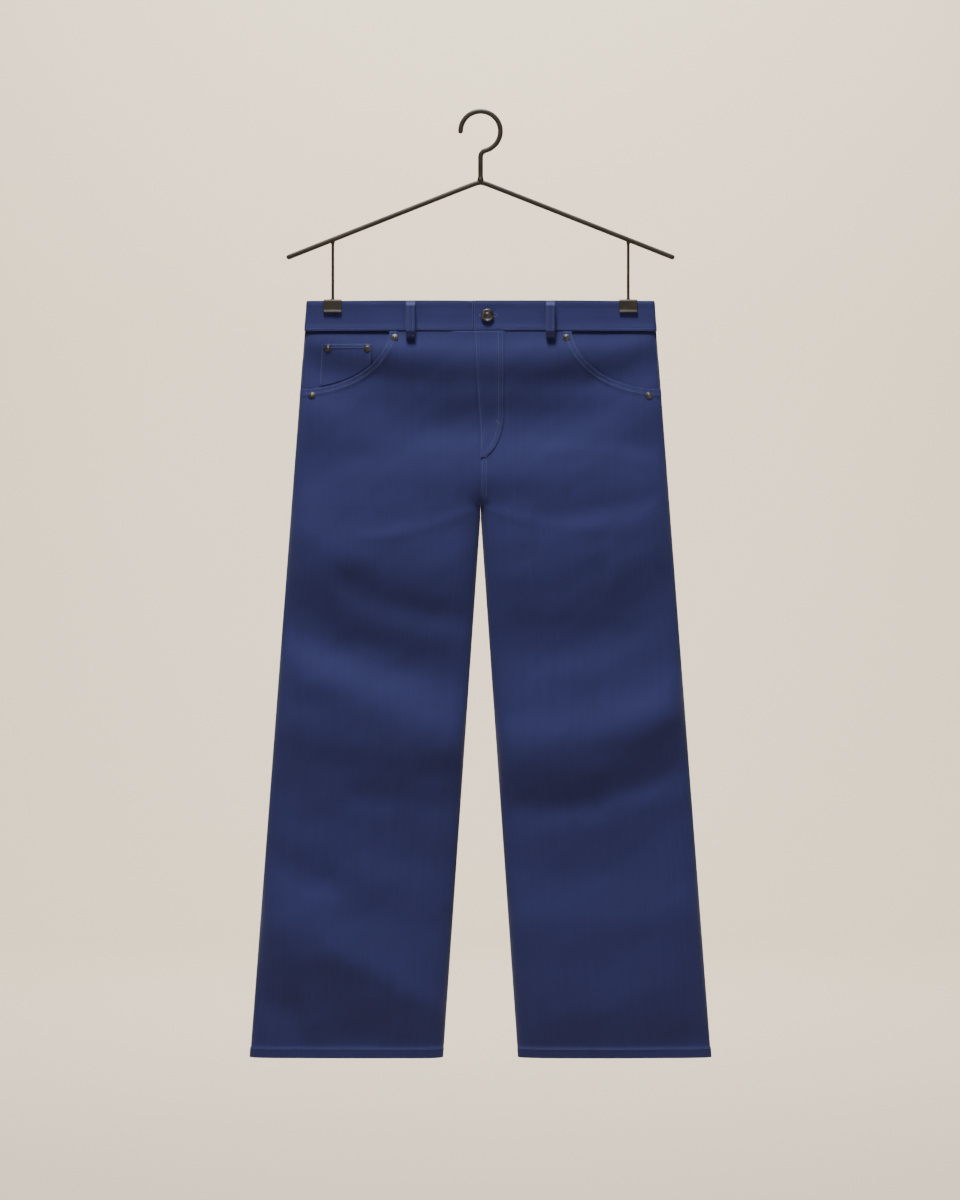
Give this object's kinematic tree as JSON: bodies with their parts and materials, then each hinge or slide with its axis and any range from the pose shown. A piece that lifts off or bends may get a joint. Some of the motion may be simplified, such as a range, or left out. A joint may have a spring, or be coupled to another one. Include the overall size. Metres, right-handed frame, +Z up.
{
  "type": "raw denim jeans on hanger",
  "caption": "Flat-hung raw denim jeans with wide straight legs, open waist and hems, clipped by the waistband to a thin steel rod hanger with a round hook.",
  "frame": {"origin": "inside top of the hanger's hook, where a rail carries it", "axes": "+Z up, the front of the jeans faces -Y, the wearer's right is on -X"},
  "size_m": [0.6098, 0.0573, 1.2514],
  "materials": {
    "denim": "raw indigo twill, unwashed, matt with a faint sheen",
    "steel": "black-brown satin coating on steel rod",
    "trim": "darkened gunmetal button and rivets"
  },
  "bodies": {
    "root": {"back_left": "denim", "back_pocket_left": "denim", "back_pocket_right": "denim", "back_right": "denim", "belt_loop_back_left": "denim", "belt_loop_back_right": "denim", "belt_loop_centre_back": "denim", "belt_loop_front_left": "denim", "belt_loop_front_right": "denim", "clip_left": "steel", "clip_right": "steel", "clip_rod_left": "steel", "clip_rod_right": "steel", "coin_pocket": "denim", "fly": "denim", "front_left": "denim", "front_right": "denim", "hanger_arm_left": "steel", "hanger_arm_right": "steel", "hanger_hook": "steel", "pocket_facing_left": "denim", "pocket_facing_right": "denim", "rivet_coin_inner": "trim", "rivet_coin_outer": "trim", "rivet_mouth_side_left": "trim", "rivet_mouth_side_right": "trim", "rivet_mouth_top_left": "trim", "rivet_mouth_top_right": "trim", "waist_button": "trim", "waistband": "denim", "yoke_left": "denim", "yoke_right": "denim"}
  },
  "joints": []
}
